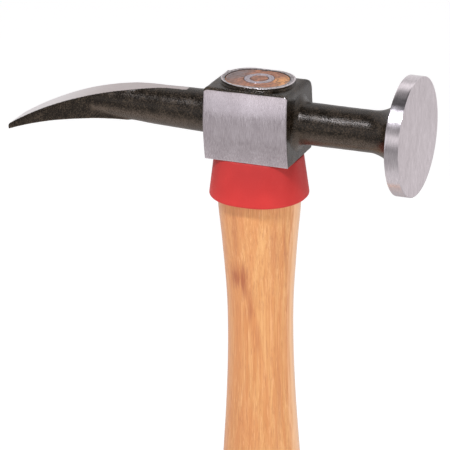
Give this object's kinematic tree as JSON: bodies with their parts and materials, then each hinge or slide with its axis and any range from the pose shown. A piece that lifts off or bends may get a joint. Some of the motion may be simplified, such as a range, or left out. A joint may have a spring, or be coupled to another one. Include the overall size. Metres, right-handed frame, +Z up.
{
  "type": "curved peen hammer",
  "caption": "Panel beating hammer with a round finishing face, a downward curved cross pein, a wedged wooden handle and a moulded collar under the head.",
  "frame": {"origin": "middle of the flat end of the handle's butt", "axes": "+Z up the handle towards the head, +X out of the round striking face, so the curved pein points to -X; Y is across the head"},
  "size_m": [0.1462, 0.04, 0.326],
  "materials": {
    "forged_steel": "satin black forged steel, bare ground steel on the face, the pein's top and the cheeks",
    "hickory": "clear lacquer",
    "wedge_steel": "dull, driven in",
    "red_collar": "satin"
  },
  "bodies": {
    "root": {"hammer_head": "forged_steel", "handle": "hickory", "ring_wedge": "wedge_steel", "collar": "red_collar"}
  },
  "joints": []
}
